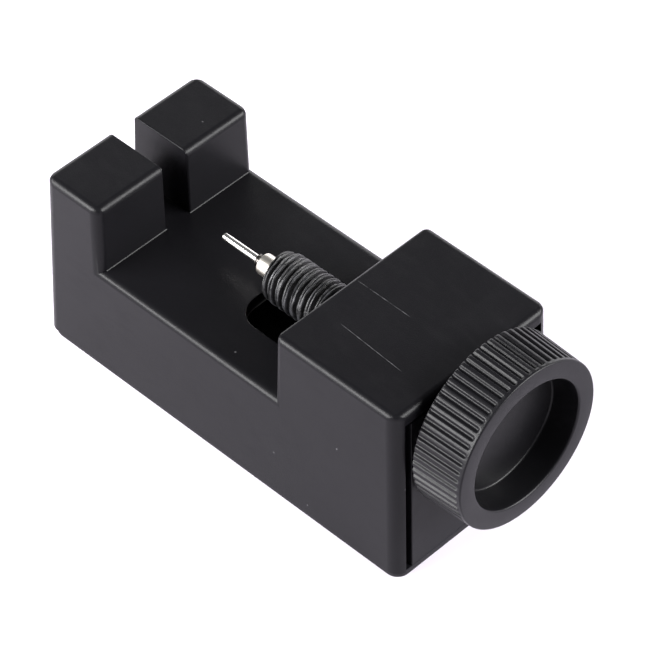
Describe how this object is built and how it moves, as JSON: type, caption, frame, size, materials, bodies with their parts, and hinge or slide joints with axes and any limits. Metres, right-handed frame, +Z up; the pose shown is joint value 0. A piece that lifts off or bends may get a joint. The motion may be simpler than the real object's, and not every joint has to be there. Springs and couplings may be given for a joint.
{
  "type": "watch bracelet pin press",
  "caption": "Hand press that pushes link pins out of watch bracelets: plastic body with slotted jaws, flat bed and block, and a knob-turned thrust screw carrying a thin steel push pin.",
  "frame": {"origin": "centre of the bounding box, on the surface that the base plate stands on", "axes": "+X along the thrust screw from the jaws to the knob, +Z up, so -Y is at the left and +Y at the right when looking from the knob towards the jaws"},
  "size_m": [0.0702, 0.027, 0.0322],
  "materials": {
    "shell_plastic": "satin black moulded ABS with fine handling scratches",
    "base_plastic": "dull black moulded ABS",
    "zinc_screw": "bright zinc plated",
    "insert_brass": "turned brass",
    "black_thread": "rough blackened steel thread, rubbed on the crests",
    "knob_plastic": "satin black moulded plastic",
    "nickel": "nickel plated, fine turning lines",
    "pin_steel": "polished hardened steel"
  },
  "bodies": {
    "housing": {"outer_shell": "shell_plastic", "base_plate": "base_plastic", "base_screws": "zinc_screw", "thread_insert": "insert_brass"},
    "pin": {"push_pin": "pin_steel"},
    "spindle": {"thrust_screw": "black_thread", "thumb_knob": "knob_plastic", "pin_ferrule": "nickel"}
  },
  "joints": [
    {"name": "pin_feed", "type": "slide", "parent": "housing", "child": "pin", "axis": [1, 0, 0], "range_m": [-0.0007, 0.01625]},
    {"name": "knob_turn", "type": "hinge", "parent": "pin", "child": "spindle", "pos_m": [0.00985, 0, 0.0203], "axis": [1, 0, 0], "range_deg": [-201.6, 4680]}
  ],
  "couplings": [
    {"joint": "pin_feed", "follows": "knob_turn", "m_per_rad": 0.00019894}
  ]
}
